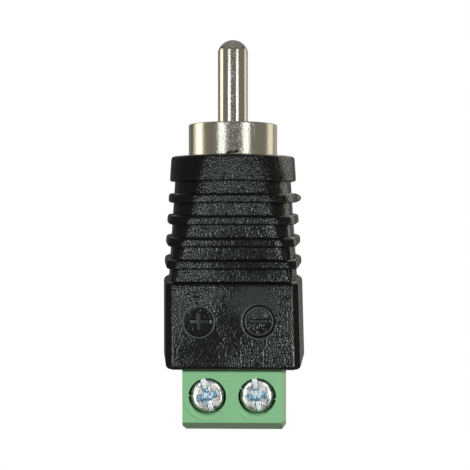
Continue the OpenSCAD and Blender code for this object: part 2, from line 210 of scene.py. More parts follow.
PLUS_MARK = Mark(-3.3 * MM, 11.34 * MM, 1.5 * MM, 0.05 * MM, 0.42 * MM, 0.1 * MM)
MINUS_MARK = Mark(2.7 * MM, 11.39 * MM, 1.64 * MM, 0.2 * MM, 0.5 * MM, 0.15 * MM)


# Shader maths


class Value:
    """A socket of a node tree; arithmetic on it adds Math nodes."""

    def __init__(self, nodes, socket):
        self.nodes = nodes
        self.socket = socket

    def _math(self, operation, first, second):
        return self.nodes.node("ShaderNodeMath", {"operation": operation}, {0: first, 1: second})

    def __add__(self, other):
        return self._math("ADD", self, other)

    def __radd__(self, other):
        return self._math("ADD", other, self)

    def __sub__(self, other):
        return self._math("SUBTRACT", self, other)

    def __rsub__(self, other):
        return self._math("SUBTRACT", other, self)

    def __mul__(self, other):
        return self._math("MULTIPLY", self, other)

    def __rmul__(self, other):
        return self._math("MULTIPLY", other, self)

    def __truediv__(self, other):
        return self._math("DIVIDE", self, other)

    def __rtruediv__(self, other):
        return self._math("DIVIDE", other, self)

    def __abs__(self):
        return self._math("ABSOLUTE", self, 0.0)


class Nodes:
    """The node tree of a material or a world."""

    def __init__(self, owner):
        owner.use_nodes = True
        self.tree = owner.node_tree

    def node(self, kind, settings=None, sockets=None, out=0):
        """Adds a node: its settings first, then the values or links of its sockets."""
        made = self.tree.nodes.new(kind)
        for key, value in (settings or {}).items():
            if key == "stops":
                self._stops(made.color_ramp.elements, value)
            else:
                setattr(made, key, value)
        for key, value in (sockets or {}).items():
            if isinstance(value, Value):
                self.tree.links.new(value.socket, made.inputs[key])
            else:
                made.inputs[key].default_value = value
        return Value(self, made.outputs[out]) if made.outputs else None

    @staticmethod
    def _stops(elements, stops):
        while len(elements) < len(stops):
            elements.new(1.0)
        for element, (position, level) in zip(elements, stops):
            element.position = position
            element.color = (level, level, level, 1.0)


class Finish(Nodes):
    """One procedural material round a Principled shader."""

    def __init__(self, name, **constants):
        self.material = bpy.data.materials.new(name)
        super().__init__(self.material)
        self.shader = self.tree.nodes["Principled BSDF"]
        for key, value in constants.items():
            self.shader.inputs[key.replace("_", " ")].default_value = value
        self.place = self.node("ShaderNodeTexCoord", out="Object")

    def feed(self, **sockets):
        for key, value in sockets.items():
            self.tree.links.new(value.socket, self.shader.inputs[key.replace("_", " ")])

    def ramp(self, factor, *stops):
        return self.node("ShaderNodeValToRGB", {"stops": stops}, {0: factor})

    def mix(self, factor, first, second):
        first, second = (c if isinstance(c, Value) else (*c, 1.0) for c in (first, second))
        return self.node("ShaderNodeMix", {"data_type": "RGBA"}, {0: factor, 6: first, 7: second}, out=2)

    def noise(self, grain, detail=2.0, roughness=0.5, place=None):
        sockets = {"Vector": place or self.place, "Scale": 1.0 / grain}
        sockets.update({"Detail": detail, "Roughness": roughness})
        return self.node("ShaderNodeTexNoise", {}, sockets)

    def domes(self, grain):
        """Rounded pebbles: one at the middle of a cell, falling towards its edges."""
        away = self.node("ShaderNodeTexVoronoi", {}, {"Vector": self.place, "Scale": 1.0 / grain})
        return 1.0 - away * away

    def vector(self, operation, first, second=(0.0, 0.0, 0.0), out="Vector"):
        return self.node("ShaderNodeVectorMath", {"operation": operation}, {0: first, 1: second}, out)

    def distance(self, point, place=None):
        """Distance from a point of the object."""
        return self.vector("DISTANCE", place or self.place, point, "Value")

    def along(self, axis):
        """Place along X, Y or Z of the object."""
        return self.node("ShaderNodeSeparateXYZ", {}, {0: self.place}, out=axis)

    def near(self, point, reach):
        """One close to a point of the object, falling to nothing at a reach."""
        return self.ramp(self.distance(point) / reach, (0.35, 1.0), (1.0, 0.0))

    def inside(self, mark, front):
        """One on the floor of a sunk mark, nothing outside it."""
        away = self.distance((mark.x, front, mark.z)) / (2 * mark.radius)
        return self.ramp(away, (0.49, 1.0), (0.54, 0.0))

    def stretched(self, scale):
        return self.node("ShaderNodeMapping", {}, {"Vector": self.place, "Scale": scale})

    def bump(self, height, depth):
        sockets = {"Height": height, "Distance": depth, "Strength": 1.0}
        self.feed(Normal=self.node("ShaderNodeBump", {}, sockets))


FINISHES = {}


def finish(maker, *arguments):
    """The material that a maker gives, made once."""
    if maker.__name__ not in FINISHES:
        FINISHES[maker.__name__] = maker(*arguments).material
    return FINISHES[maker.__name__]


def times(colour, factor):
    """A colour made darker or paler."""
    return [min(1.0, factor * channel) for channel in colour]


# Finishes


class Patch(NamedTuple):
    """A patch of the front face and how much grain and roughness it adds."""

    x: float
    z: float
    reach: float
    grain: float
    roughness: float


PATCHES = (
    Patch(-4.8 * MM, 15.2 * MM, 4.6 * MM, 0.35, -0.1),
    Patch(3.6 * MM, 8.4 * MM, 4.0 * MM, 0.0, -0.05),
    Patch(-0.4 * MM, 10.4 * MM, 3.4 * MM, -0.45, 0.0),
    Patch(-3.4 * MM, 7.8 * MM, 3.6 * MM, -0.5, 0.0),
    Patch(1.5 * MM, 17.4 * MM, 5.5 * MM, -0.42, 0.0),
    Patch(2.2 * MM, 13.4 * MM, 3.0 * MM, -0.3, 0.2),
    Patch(0.0, 26.0 * MM, 6.0 * MM, 0.15, 0.05),
)
BLACK_GLOSS = 0.8


def black_plastic(moulding):
    """Pebbled in uneven patches, smooth beside the front and back facets, scratched in the minus mark."""
    made = Finish("black_plastic", Specular_IOR_Level=BLACK_GLOSS)
    front = -moulding.depth / 2
    grain = 0.5 + 0.8 * made.noise(2.2 * MM)
    roughness = 0.19
    for patch in PATCHES:
        share = made.near((patch.x, front, patch.z), patch.reach)
        grain = grain + patch.grain * share
        roughness = roughness + patch.roughness * share
    plus, minus = made.inside(PLUS_MARK, front), made.inside(MINUS_MARK, front)
    lower_top = BODY_LOW.z + moulding.lower_height
    rise = made.ramp((made.along("Z") - lower_top) / (BODY_HIGH.z - lower_top), (0.0, 0.0), (1.0, 1.0))
    across = made.along("X") / moulding.face_width
    sides = made.ramp(abs(across) + 0.25 * rise, (0.44, 0.0), (0.46, 1.0)) * (0.6 - across * rise)
    grain = grain * (1.0 - sides) * (1.0 - 0.6 * plus) * (1.0 - minus)
    spots = made.ramp(made.noise(0.2 * MM, 1.0), (0.47, 0.0), (0.58, 1.0))
    scratches = made.noise(0.24 * MM, 1.0, 0.5, made.stretched((1.0, 1.0, 0.7))) * minus
    made.feed(Base_Color=made.mix(grain, times(moulding.colour, 0.8), times(moulding.colour, 1.2)))
    made.feed(Roughness=roughness + 0.2 * spots * grain)
    made.bump(made.domes(0.22 * MM) * grain + 1.4 * scratches, 0.057 * MM)
    return made


def worn_black(moulding):
    """The beads round the marks, made paler all round by a painted highlight."""
    made = Finish("worn_black", Specular_IOR_Level=BLACK_GLOSS)
    cloud = made.noise(0.35 * MM)
    made.feed(Base_Color=made.mix(cloud, times(moulding.colour, 45.0), times(moulding.colour, 90.0)))
    made.feed(Roughness=0.42 + 0.14 * cloud)
    return made


def glossy_black(moulding):
    """The signs in the marks, glossy at their sides, with a painted highlight that makes them paler on top.
    """
    made = Finish("glossy_black", Specular_IOR_Level=BLACK_GLOSS)
    cloud = made.noise(0.35 * MM)
    height = moulding.mark_depth - moulding.depth / 2 - made.along("Y")
    # Painted highlight: the tops of the signs are paler than their sides
    painted_highlight = made.ramp(height / (2 * moulding.bar_height), (0.44, 0.0), (0.48, 1.0))
    base = made.mix(cloud, moulding.colour, times(moulding.colour, 4.0))
    made.feed(Base_Color=made.mix(painted_highlight, base, times(moulding.colour, 14.0)))
    made.feed(Roughness=0.27 + 0.1 * cloud)
    return made


def plating(name, colour, roughness, reach, relief):
    """Nickel plate with fine frosted spots up to a reach on both sides of the middle."""
    made = Finish(name, Metallic=1.0)
    smear = made.noise(0.9 * MM, 4.0, 0.6)
    lines = made.noise(0.5 * MM, 2.0, 0.5, made.stretched((0.6, 0.6, 9.0)))
    spots = made.ramp(made.noise(0.14 * MM), (0.53, 0.0), (0.6, 1.0))
    spots = spots * made.ramp(abs(made.along("X")) / reach, (0.35, 1.0), (1.0, 0.0))
    base = made.mix(smear, times(colour, 0.9), colour)
    made.feed(Base_Color=made.mix(spots, base, (0.95, 0.94, 0.9)))
    made.feed(Roughness=roughness + 0.1 * smear + 0.3 * spots)
    made.bump(0.25 * lines + made.domes(0.2 * MM), relief)
    return made


def pin_nickel(contact):
    return plating("pin_nickel", contact.colour, roughness=0.12, reach=0.3 * MM, relief=0.003 * MM)


def collar_nickel(contact):
    return plating("collar_nickel", contact.colour, roughness=0.15, reach=1.7 * MM, relief=0.006 * MM)


def green_plastic(colour):
    """Satin green, darkened on the bevelled foot by painted shade and made paler on the side bevels by a
    painted highlight.
    """
    made = Finish("green_plastic", Specular_IOR_Level=0.45)
    cloud = made.noise(3.0 * MM, 3.0)
    grain = made.noise(0.12 * MM, 2.0, 0.6)
    # Painted shade: everything below about 0.75 mm is darkened towards dull grey-green
    foot = made.ramp(made.along("Z") / (2 * MM), (0.37, 0.8), (0.4, 0.0))
    # Painted highlight: the side bevels near the front turn paler grey-green
    painted_highlight = made.ramp(abs(made.along("X")) / (2 * HOUSING_HIGH.x), (0.468, 0.0), (0.472, 0.8))
    painted_highlight = painted_highlight * made.ramp((made.along("Y") - HOUSING_LOW.y) / (4 * MM), (0.16, 1.0), (0.3, 0.0))
    base = made.mix(cloud, times(colour, 0.95), times(colour, 1.05))
    base = made.mix(foot, base, (0.08, 0.115, 0.075))
    made.feed(Base_Color=made.mix(painted_highlight, base, (0.3, 0.37, 0.25)))
    made.feed(Roughness=0.48 + 0.12 * grain)
    made.bump(grain, 0.004 * MM)
    return made


def zinc_plate(block):
    """Dented zinc plate with cream and grey clouds, rougher round the edge of the heads, where a painted
    dark reflection darkens it.
    """
    made = Finish("zinc_plate", Metallic=1.0)
    cloud = made.ramp(made.noise(0.8 * MM, 2.0, 0.6), (0.37, 0.0), (0.55, 1.0))
    grain = made.noise(0.12 * MM, 2.0, 0.6)
    flat = made.vector("ABSOLUTE", made.vector("MULTIPLY", made.place, (1.0, 0.0, 1.0)))
    away = made.distance((block.pitch / 2, 0.0, block.screw_height), flat)
    # Painted dark reflection: a ring round the edge of each head is darkened
    edge = made.ramp(away / (2 * MM), (0.74, 0.0), (0.79, 0.85))
    base = made.mix(cloud, times(block.zinc, 0.5), (1.0, 0.97, 0.9))
    made.feed(Base_Color=made.mix(edge, base, (0.13, 0.15, 0.14)))
    made.feed(Roughness=0.14 + 0.14 * cloud + 0.15 * edge)
    made.bump(made.noise(0.55 * MM, 1.0) + 0.15 * grain, 0.06 * MM)
    return made


def cut_zinc(block):
    """Bright cut metal, streaked along the slot."""
    made = Finish("cut_zinc", Metallic=1.0)
    streaks = made.noise(0.14 * MM, 2.0, 0.6, made.stretched((1.0, 1.0, 0.15)))
    made.feed(Base_Color=made.mix(streaks, block.zinc, times(block.zinc, 1.3)))
    made.feed(Roughness=0.24 + 0.2 * streaks)
    made.bump(streaks, 0.06 * MM)
    return made


def dull_zinc():
    """The stepped edges of the slot, darkened by painted shade."""
    made = Finish("dull_zinc", Metallic=1.0)
    cloud = made.noise(0.3 * MM)
    made.feed(Base_Color=made.mix(cloud, (0.015, 0.02, 0.024), (0.1, 0.12, 0.14)))
    made.feed(Roughness=0.4 + 0.2 * cloud)
    made.bump(cloud, 0.01 * MM)
    return made


def blue_zinc():
    """The cross recess, passivated in blue with bright spots."""
    made = Finish("blue_zinc", Metallic=1.0)
    cloud = made.ramp(made.noise(0.32 * MM, 2.0, 0.6), (0.42, 0.0), (0.56, 1.0))
    made.feed(Base_Color=made.mix(cloud, (0.2, 0.36, 0.54), (0.86, 0.99, 1.0)))
    made.feed(Roughness=0.16 + 0.2 * cloud)
    made.bump(cloud, 0.02 * MM)
    return made


def cream_insulator():
    made = Finish("cream_insulator", Roughness=0.55)
    cloud = made.noise(1.2 * MM, 3.0)
    made.feed(Base_Color=made.mix(cloud, (0.66, 0.62, 0.52), (0.76, 0.72, 0.63)))
    made.bump(made.noise(0.2 * MM), 0.004 * MM)
    return made


def stamped_brass():
    made = Finish("stamped_brass", Metallic=1.0)
    cloud = made.noise(0.8 * MM, 4.0, 0.6)
    made.feed(Base_Color=made.mix(cloud, (0.52, 0.36, 0.13), (0.68, 0.5, 0.2)))
    made.feed(Roughness=0.24 + 0.2 * cloud)
    made.bump(made.noise(0.25 * MM, 2.0, 0.5, made.stretched((1.0, 1.0, 0.1))), 0.003 * MM)
    return made


def tinned_copper():
    made = Finish("tinned_copper", Metallic=1.0)
    cloud = made.noise(0.5 * MM, 3.0)
    made.feed(Base_Color=made.mix(cloud, (0.5, 0.5, 0.49), (0.66, 0.66, 0.64)))
    made.feed(Roughness=0.25 + 0.25 * cloud)
    made.bump(cloud, 0.01 * MM)
    return made


def sleeve(name, dark, pale):
    """Smooth plastic tube with faint clouds."""
    made = Finish(name, Specular_IOR_Level=0.45)
    cloud = made.noise(0.7 * MM, 3.0)
    made.feed(Base_Color=made.mix(cloud, dark, pale))
    made.feed(Roughness=0.38 + 0.15 * cloud)
    return made


def red_sleeve():
    return sleeve("red_sleeve", (0.3, 0.012, 0.01), (0.42, 0.02, 0.016))


def black_sleeve():
    return sleeve("black_sleeve", (0.009, 0.009, 0.009), (0.016, 0.016, 0.016))


# Mesh helpers


SHARP = math.radians(32.0)


def tidy(bm):
    """Merges doubles and turns all faces outwards."""
    bmesh.ops.remove_doubles(bm, verts=bm.verts, dist=1e-7)
    bmesh.ops.dissolve_degenerate(bm, edges=bm.edges, dist=1e-8)
    bmesh.ops.recalc_face_normals(bm, faces=bm.faces)


def shade(mesh):
    mesh.shade_smooth()
    mesh.set_sharp_from_angle(angle=SHARP)


def loose_object(name, bm):
    mesh = bpy.data.meshes.new(name)
    bm.to_mesh(mesh)
    bm.free()
    made = bpy.data.objects.new(name, mesh)
    bpy.context.scene.collection.objects.link(made)
    return made


def piece(name, bm, material, body, slot, nodes=()):
    """Makes an object of a mesh, gives it its finish and sets it on its CAD body."""
    made = loose_object(name, bm)
    made.data.materials.append(material)
    shade(made.data)
    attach(made, body)
    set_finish(made, slot)
    if nodes:
        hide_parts(*nodes)
    return made


def settle(made):
    """Applies an object's modifiers to its mesh."""
    graph = bpy.context.evaluated_depsgraph_get()
    applied = bpy.data.meshes.new_from_object(made.evaluated_get(graph))
    made.modifiers.clear()
    made.data = applied
    shade(made.data)


def carve(made, cutter_mesh, material=None):
    """Cuts the cutter's shape out of an object; a finish that is given goes on the cut faces."""
    cutter = loose_object("cutter", cutter_mesh)
    cut = made.modifiers.new("Carve", "BOOLEAN")
    if material:
        cutter.data.materials.append(material)
        cut.material_mode = "TRANSFER"
    cut.operation = "DIFFERENCE"
    cut.solver = "EXACT"
    cut.object = cutter
    settle(made)
    bpy.data.objects.remove(cutter)


def soften(made, width):
    """Rounds every sharp edge."""
    bevel = made.modifiers.new("Edges", "BEVEL")
    bevel.width = width
    bevel.segments = 2
    bevel.limit_method = "ANGLE"
    bevel.angle_limit = SHARP
    settle(made)


def even_normals(made):
    """Keeps large flat faces flat beside their rounded edges."""
    level = made.modifiers.new("Normals", "WEIGHTED_NORMAL")
    level.keep_sharp = True


def spin(bm, points, steps, closed=False, place=None):
    """Turns (radius, height) points round the Z axis and sets the shape in its place."""
    old = set(bm.verts)
    corners = [bm.verts.new((radius, 0.0, height)) for radius, height in points]
    following = corners[1:] + corners[:1] if closed else corners[1:]
    edges = [bm.edges.new(pair) for pair in zip(corners, following)]
    bmesh.ops.spin(
        bm, geom=corners + edges, cent=(0, 0, 0), axis=(0, 0, 1), dvec=(0, 0, 0),
        angle=math.tau, steps=steps, use_merge=True, use_duplicate=False,
    )
    fresh = [vert for vert in bm.verts if vert not in old]
    bmesh.ops.transform(bm, verts=fresh, matrix=place or Matrix())
    tidy(bm)


def arc(centre, radius, start, end, steps):
    """Points of an arc in the (radius, height) plane, angles in degrees."""
    angles = [math.radians(start + (end - start) * i / steps) for i in range(steps + 1)]
    return [(centre[0] + radius * math.cos(a), centre[1] + radius * math.sin(a)) for a in angles]


def loft(bm, rings):
    """Draws a closed loop through the rings and back to the first one."""
    start = bmesh.ops.create_circle(bm, segments=len(rings[0]), radius=1.0)["verts"]
    for vert, point in zip(start, rings[0]):
        vert.co = point
    loop = list(start)
    first_edges = list({edge for vert in loop for edge in vert.link_edges})
    edges = first_edges
    for ring in rings[1:]:
        made = bmesh.ops.extrude_edge_only(bm, edges=edges)["geom"]
        fresh = {v for v in made if isinstance(v, bmesh.types.BMVert)}
        following = []
        for vert in loop:
            others = [edge.other_vert(vert) for edge in vert.link_edges]
            following.append(next(other for other in others if other in fresh))
        for vert, point in zip(following, ring):
            vert.co = point
        loop = following
        edges = [e for e in made if isinstance(e, bmesh.types.BMEdge) and set(e.verts) <= fresh]
    bmesh.ops.bridge_loops(bm, edges=first_edges + edges)
    tidy(bm)


def face_matrix(x, z, height=0.0):
    """Places a shape drawn in XY, rising in Z, on the front: X stays, Y goes up, Z comes towards -Y."""
    return Matrix(((1, 0, 0, x), (0, 0, -1, -height), (0, 1, 0, z), (0, 0, 0, 1)))


def bead(bm, place, radius, thickness, lean=0.0, towards=0.0):
    """A round ring, leaning up by some degrees on the side that lies at an angle."""
    turn = math.radians(towards)
    axis = Vector((math.sin(turn), -math.cos(turn), 0.0))
    leaning = place @ Matrix.Rotation(math.radians(lean), 4, axis)
    spin(bm, arc((radius, 0.0), thickness, 0.0, 330.0, 11), 72, closed=True, place=leaning)


def box(bm, low, high, matrix=None):
    """A box between two corners."""
    low, high = Vector(low), Vector(high)
    place = Matrix.Translation((low + high) / 2) @ Matrix.Diagonal((*(high - low), 1.0))
    return bmesh.ops.create_cube(bm, size=1.0, matrix=(matrix or Matrix()) @ place)["verts"]


# Moulding


class Outline:
    """The moulding's outline: round at shape 0, flat-sided with two ridges at shape 1."""

    CORNER_STEPS = 14
    RIDGE_STEPS = 4

    def __init__(self, moulding):
        self.moulding = moulding
        bend, tip = moulding.corner_radius, moulding.ridge_radius
        corner = Vector((moulding.face_width / 2 - bend, moulding.depth / 2 - bend))
        ridge = moulding.ridge_width / 2 - tip
        run = corner - Vector((ridge, 0.0))
        lean = math.atan2(run.y, run.x) - math.acos((tip - bend) / run.length)
        self.lean = lean
        sweep = math.pi / 2 - lean
        quarter = [lean + sweep * i / self.CORNER_STEPS for i in range(self.CORNER_STEPS + 1)]
        quarter = sorted(quarter + [math.atan2(-HOUSING_LOW.y, -HOUSING_LOW.x)])
        tips = [lean * (2 * i / self.RIDGE_STEPS - 1) for i in range(self.RIDGE_STEPS + 1)]
        self.points = [(ridge, 0.0, tip, a) for a in tips]
        self.points += [(corner.x, corner.y, bend, a) for a in quarter]
        self.points += [(-corner.x, corner.y, bend, math.pi - a) for a in reversed(quarter)]
        self.points += [(-ridge, 0.0, tip, math.pi + a) for a in tips]
        self.points += [(-corner.x, -corner.y, bend, math.pi + a) for a in quarter]
        self.points += [(corner.x, -corner.y, bend, -a) for a in reversed(quarter)]

    def ring(self, z, shape, inset, spread=(0.0, 0.0), flash=(0.0, 0.0)):
        """One level of the outline; spread and flash move its left and right half outwards."""
        made = []
        for x, y, radius, angle in self.points:
            side = 0 if x < 0 else 1
            reach = shape * radius + (1 - shape) * self.moulding.top_diameter / 2 - inset
            out = spread[side]
            if y != 0.0:
                reach *= self.flat(angle, reach, shape)
            else:
                swing = angle if x > 0 else angle - math.pi
                out += flash[side] * max(0.0, 1 - abs(swing) / self.lean)
            across = shape * x + reach * math.cos(angle) + math.copysign(out, x)
            made.append(Vector((across, shape * y + reach * math.sin(angle), z)))
        return made

    def flat(self, angle, reach, shape):
        """Share of the reach that is left where the middle of a corner is planed flat."""
        middle = (self.lean + math.pi / 2) / 2
        swing = abs(math.asin(abs(math.sin(angle))) - middle)
        half = math.acos(1 - self.moulding.corner_flat * min(1.0, 1.5 * shape) / reach)
        return math.cos(half) / math.cos(swing) if swing < half else 1.0

    def circle(self, z, radius):
        return [Vector((radius * math.cos(a), radius * math.sin(a), z)) for _, _, _, a in self.points]

    def pocket(self, z, gap):
        """The rectangle round the terminal block."""
        half_x, half_y = gap - HOUSING_LOW.x, gap - HOUSING_LOW.y
        made = []
        for _, _, _, angle in self.points:
            across, along = math.cos(angle), math.sin(angle)
            reach = min(half_x / max(abs(across), 1e-9), half_y / max(abs(along), 1e-9))
            made.append(Vector((reach * across, reach * along, z)))
        return made


def edge_steps(edge, steps=4):
    """Rise and set-back of each step round a rounded edge."""
    turns = [math.pi / 2 * i / steps for i in range(steps + 1)]
    return [(edge * (1 - math.cos(a)), edge * (1 - math.sin(a))) for a in turns]


# Moulding flash at the left end of every rib, and at the right end of each from the foot up
FLASH_LEFT = 0.02 * MM
FLASH_RIGHT = (0.03 * MM, 0.05 * MM, 0.02 * MM, 0.45 * MM)


def moulding_rings(moulding, flange):
    """Levels of the moulding from its foot up the outside, then down the bore to the pocket."""
    outline = Outline(moulding)
    foot, top = BODY_LOW.z, BODY_HIGH.z
    lower_top = foot + moulding.lower_height
    core_foot, core_top = lower_top - moulding.block_edge, top - moulding.rib_depth

    def shape_at(z):
        return min(1.0, (top - z) / (top - lower_top))

    def core(z):
        return outline.ring(z, min(1.0, (core_top - z) / (core_top - core_foot)), moulding.rib_depth)

    def tier(z0, z1, edge, flash=(0.0, 0.0)):
        def level(z, back):
            share = 1 - (2 * (z - z0) / (z1 - z0) - 1) ** 2
            return outline.ring(z, shape_at(z), back, flash=[share * reach for reach in flash])

        low = [level(z0 + rise, back) for rise, back in edge_steps(edge)]
        middle = [level(z0 + share * (z1 - z0), 0.0) for share in (0.4, 0.5, 0.6)]
        high = [level(z1 - rise, back) for rise, back in reversed(edge_steps(edge))]
        return low + middle + high

    def block():
        def level(z, back):
            share = (lower_top - z) / moulding.lower_height
            return outline.ring(z, 1.0, back, (moulding.flare_left * share, moulding.flare_right * share))

        low = [level(foot + rise, back) for rise, back in edge_steps(moulding.block_edge)]
        high = [level(lower_top - rise, back) for rise, back in reversed(edge_steps(moulding.block_edge))]
        return low + high

    gap, chamfer, slack, ledge = moulding.clearance, 0.06 * MM, 0.2 * MM, 0.05 * MM
    seat = gap - COLLAR_LOW.x
    bore, hollow = seat - flange, -HOUSING_LOW.y - ledge
    shoulder = top - moulding.lip_height
    rings = [outline.pocket(foot, gap)] + block()
    z = lower_top
    for index in range(moulding.rib_count):
        rings += [core(z), core(z + moulding.rib_gap)]
        z += moulding.rib_gap
        flash = (FLASH_LEFT, FLASH_RIGHT[index % len(FLASH_RIGHT)])
        rings += tier(z, z + moulding.rib_height, moulding.rib_edge, flash)
        z += moulding.rib_height
    rings += [core(z), core(z + moulding.rib_gap)]
    rings += tier(z + moulding.rib_gap, top, moulding.rib_edge)
    rings += [outline.circle(top, bore + chamfer), outline.circle(top - chamfer, bore)]
    rings += [outline.circle(shoulder, bore), outline.circle(shoulder, seat)]
    rings += [outline.circle(COLLAR_LOW.z - slack, seat), outline.circle(COLLAR_LOW.z - 2 * slack, hollow)]
    rings += [outline.circle(COVER_TOP, hollow), outline.pocket(COVER_TOP, gap)]
    return rings


class PLUG_OT_moulding(bpy.types.Operator):
    """Builds the ribbed black moulding with its two sunk polarity marks"""

    bl_idname = "plug.moulding"
    bl_label = "Moulded body"

    OVERLAP = 0.3 * MM

    def tongue(self, bm, moulding):
        """The cutter for the groove that takes the housing's tongue."""
        gap = moulding.clearance
        front = HOUSING_LOW.y + moulding.tongue_front
        low = (-HOUSING_LOW.x - self.OVERLAP, front - gap, BODY_LOW.z - self.OVERLAP)
        box(bm, low, (HOUSING_HIGH.x + gap, front + moulding.tongue_width + gap, COVER_TOP))

    def execute(self, context):
        moulding = context.scene.plug_moulding
        bm = bmesh.new()
        loft(bm, moulding_rings(moulding, context.scene.plug_contacts.flange))
        material = finish(black_plastic, moulding)
        made = piece("moulded_body", bm, material, "plug", "black_body", ["body_shell"])
        cutters = bmesh.new()
        for mark in (PLUS_MARK, MINUS_MARK):
            bmesh.ops.create_cone(
                cutters, cap_ends=True, segments=64, depth=2 * moulding.mark_depth,
                radius1=mark.radius - mark.wall, radius2=mark.radius + mark.wall,
                matrix=face_matrix(mark.x, mark.z, moulding.depth / 2),
            )
        self.tongue(cutters, moulding)
        carve(made, cutters)
        even_normals(made)
        return {"FINISHED"}


class PLUG_OT_marks(bpy.types.Operator):
    """Builds the raised plus and minus signs in the sunk marks, with their beads, made paler by a painted
    highlight, and a burr
    """

    bl_idname = "plug.marks"
    bl_label = "Polarity signs"

    SINK = 0.03 * MM
    THICK, THIN = 0.07 * MM, 0.06 * MM
    PLUS_RISE, MINUS_DROP = 0.03 * MM, 0.04 * MM
    MINUS_LEAN, MINUS_TOWARDS = 1.3, 225.0
    BURR_ACROSS, BURR_TILT = 1.16 * MM, 17.0
    BURR_LOW, BURR_HIGH = Vector((-0.1, -0.15, -0.08)) * MM, Vector((0.1, 0.15, 0.05)) * MM

    def sign(self, moulding, mark, upright):
        """A bar, or two crossed ones, with rounded edges on the floor of a mark."""
        bm = bmesh.new()
        grid = bmesh.ops.create_grid(bm, x_segments=3, y_segments=3, size=1.0)["verts"]
        for vert in grid:
            for axis in (0, 1):
                # The grid's lines lie at a third and at one
                outer = abs(vert.co[axis]) > 0.6
                reach = moulding.bar_length if outer else mark.bar_width
                vert.co[axis] = math.copysign(reach / 2, vert.co[axis])
        spare = []
        for face in bm.faces:
            centre = face.calc_center_median()
            arm_x, arm_y = (abs(place) > mark.bar_width / 2 for place in centre.xy)
            if (arm_x and arm_y) or (arm_y and not upright):
                spare.append(face)
        bmesh.ops.delete(bm, geom=spare, context="FACES")
        floor = moulding.depth / 2 - moulding.mark_depth
        for vert in bm.verts:
            vert.co.z = floor - self.SINK
        raised = bmesh.ops.extrude_face_region(bm, geom=list(bm.faces))["geom"]
        tops = [v for v in raised if isinstance(v, bmesh.types.BMVert)]
        bmesh.ops.translate(bm, verts=tops, vec=(0, 0, moulding.bar_height + self.SINK))
        bmesh.ops.dissolve_limit(bm, angle_limit=0.02, verts=bm.verts, edges=bm.edges)
        rim = [e for e in bm.edges if all(v.co.z > floor for v in e.verts)]
        bmesh.ops.bevel(
            bm, geom=rim, offset=mark.bar_edge, segments=4, profile=0.5, affect="EDGES", material=-1,
        )
        bmesh.ops.transform(bm, verts=bm.verts, matrix=face_matrix(mark.x, mark.z))
        tidy(bm)
        return bm

    def beads(self, front, floor):
        """The bead round the plus mark, and the inner and outer bead of the minus mark."""
        bm = bmesh.new()
        plus, minus = PLUS_MARK, MINUS_MARK
        bead(bm, face_matrix(plus.x, plus.z, front + self.PLUS_RISE), plus.radius + self.THICK, self.THICK)
        bead(bm, face_matrix(minus.x, minus.z, floor), minus.radius - minus.wall - self.THIN, self.THIN)
        outer = face_matrix(minus.x, minus.z, front - self.MINUS_DROP)
        reach = minus.radius + minus.wall - self.THICK
        bead(bm, outer, reach, self.THICK, self.MINUS_LEAN, self.MINUS_TOWARDS)
        return bm

    def burr(self, floor):
        bm = bmesh.new()
        place = face_matrix(PLUS_MARK.x + self.BURR_ACROSS, PLUS_MARK.z, floor)
        tilt = Matrix.Rotation(math.radians(self.BURR_TILT), 4, "Y")
        box(bm, self.BURR_LOW, self.BURR_HIGH, place @ tilt)
        return bm

    def execute(self, context):
        moulding = context.scene.plug_moulding
        # The beads and the tops of the signs carry painted highlights
        highlighted, glossy = finish(worn_black, moulding), finish(glossy_black, moulding)
        front = moulding.depth / 2
        floor = front - moulding.mark_depth
        piece("plus_sign", self.sign(moulding, PLUS_MARK, True), glossy, "plug", "black_body")
        piece("minus_sign", self.sign(moulding, MINUS_MARK, False), glossy, "plug", "black_body")
        piece("mark_beads", self.beads(front, floor), highlighted, "plug", "black_body")
        piece("mark_burr", self.burr(floor), glossy, "plug", "black_body")
        return {"FINISHED"}


# Contacts


